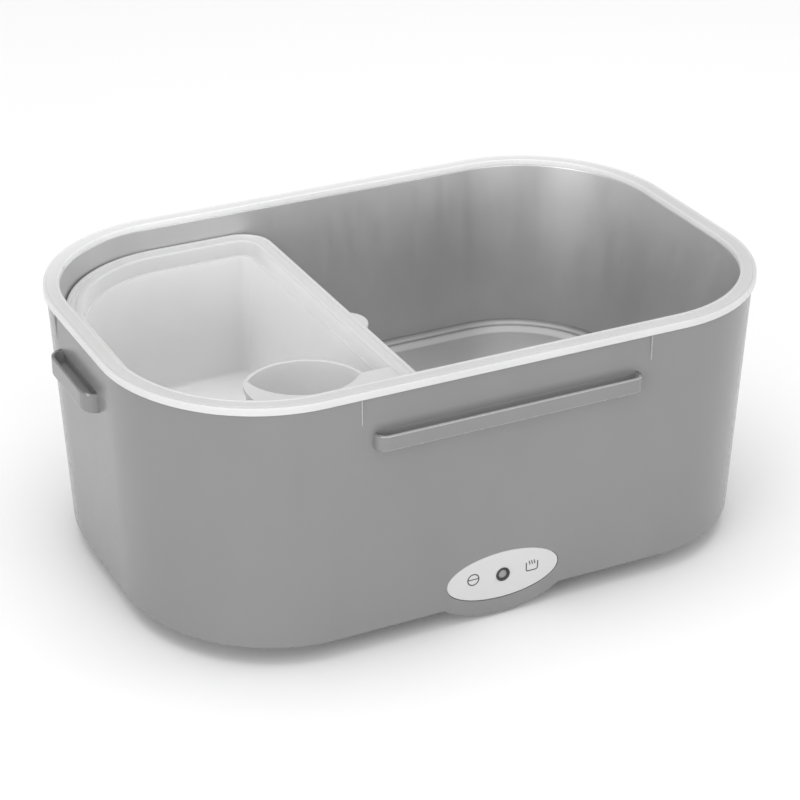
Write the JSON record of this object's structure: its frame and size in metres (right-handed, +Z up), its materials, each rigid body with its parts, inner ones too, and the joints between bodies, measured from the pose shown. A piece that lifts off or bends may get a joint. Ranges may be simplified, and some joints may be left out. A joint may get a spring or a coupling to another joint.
{
  "type": "electric lunch box",
  "caption": "Open electric lunch box base: rounded body with latch ledges and oval indicator, heated well, lift-out steel tray with rim ring, and a lift-out food insert with a round scoop.",
  "frame": {"origin": "middle of the footprint on the plane of the rubber feet", "axes": "+X along the length with the insert towards -X, -Y is the front with the indicator, +Z up"},
  "size_m": [0.241, 0.165, 0.0964],
  "materials": {
    "body_grey": "fine satin moulded grey",
    "well_grey": "satin moulded grey",
    "silicone_red": "matt silicone",
    "plate_aluminium": "turned and lightly brushed",
    "zinc_steel": "zinc plated",
    "heater_aluminium": "extruded, matt",
    "mica": "flaky mica board",
    "spring_steel": "rolled sheet",
    "phenolic_dark": "dark phenolic",
    "glass_fibre": "woven glass-fibre sleeve",
    "fuse_metal": "tinned",
    "inlet_black": "satin black",
    "pin_brass": "plated brass",
    "plate_light": "light grey film plate, satin",
    "bezel_dark": "dark satin",
    "lens_grey": "smoked translucent",
    "led_red": "tinted epoxy",
    "board_green": "solder-masked laminate",
    "resistor_tan": "lacquered",
    "wire_brown": "silicone insulation",
    "wire_blue": "silicone insulation",
    "wire_white": "silicone insulation",
    "wire_red": "silicone insulation",
    "base_dark": "sparked dark grey",
    "foot_rubber": "matt black",
    "tray_steel": "drawn stainless, satin",
    "rim_clear": "translucent natural plastic, satin",
    "insert_clear": "translucent natural plastic, satin"
  },
  "bodies": {
    "housing": {"outer_shell": "body_grey", "inner_well": "well_grey", "plate_gasket": "silicone_red", "heating_plate": "plate_aluminium", "plate_nuts": "zinc_steel", "ptc_heater_left": "heater_aluminium", "ptc_heater_right": "heater_aluminium", "mica_sheet": "mica", "heater_clamp": "spring_steel", "clamp_screw": "zinc_steel", "thermostat": "phenolic_dark", "thermostat_screws": "zinc_steel", "fuse_sleeve": "glass_fibre", "thermal_fuse": "fuse_metal", "inlet_socket": "inlet_black", "inlet_pins": "pin_brass", "inlet_screws": "zinc_steel", "indicator_plate": "plate_light", "led_bezel": "bezel_dark", "led_lens": "lens_grey", "indicator_led": "led_red", "led_board": "board_green", "dropper_resistor": "resistor_tan", "live_wire": "wire_brown", "neutral_wire": "wire_blue", "link_wire": "wire_white", "indicator_leads": "wire_red", "base_cover": "base_dark", "base_screws": "zinc_steel", "rubber_feet": "foot_rubber"},
    "tray": {"steel_tray": "tray_steel", "tray_rim": "rim_clear"},
    "insert": {"insert_box": "insert_clear", "insert_scoop": "insert_clear"}
  },
  "joints": [
    {"name": "tray_lift", "type": "slide", "parent": "housing", "child": "tray", "axis": [0, 0, 1], "range_m": [0, 0.075]},
    {"name": "insert_lift", "type": "slide", "parent": "tray", "child": "insert", "axis": [0, 0, 1], "range_m": [0, 0.075]}
  ]
}
